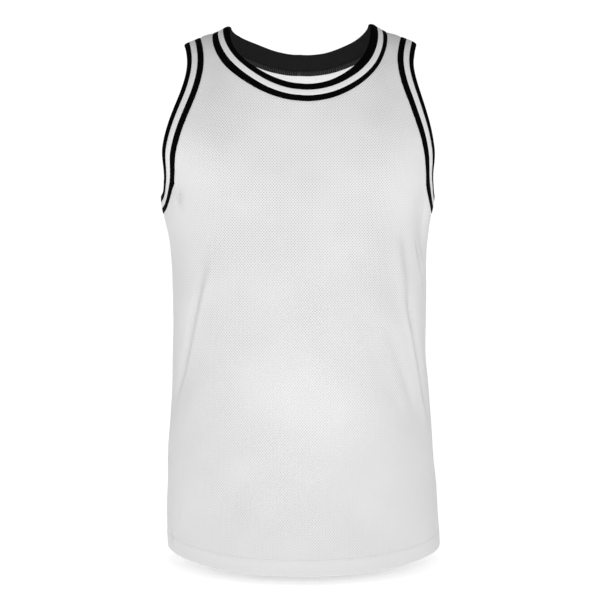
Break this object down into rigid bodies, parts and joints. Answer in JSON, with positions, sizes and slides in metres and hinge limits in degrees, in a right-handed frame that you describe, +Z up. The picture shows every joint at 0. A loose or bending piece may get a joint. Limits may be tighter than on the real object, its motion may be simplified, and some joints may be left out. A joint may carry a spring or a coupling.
{
  "type": "basketball jersey",
  "caption": "Sleeveless basketball jersey in its worn, filled-out shape: white mesh knit with a scoop neck and black and white striped rib trims round the neck and armholes.",
  "frame": {"origin": "midway between the two shoulder straps, at the height where they rest on the wearer's shoulders", "axes": "+Z up along the body, -Y towards the front of the jersey, +X towards the viewer's right when the front is seen"},
  "size_m": [0.3797, 0.2567, 0.7252],
  "materials": {
    "mesh_white": "matt white polyester mesh knit with small staggered holes",
    "rib_black": "matt black rib knit, the outer stripes of each trim",
    "rib_white": "matt white rib knit, the middle stripe of each trim"
  },
  "bodies": {
    "root": {"front_panel": "mesh_white", "back_panel": "mesh_white", "neck_trim": "rib_black", "armhole_trim_left": "rib_black", "armhole_trim_right": "rib_black"}
  },
  "joints": []
}
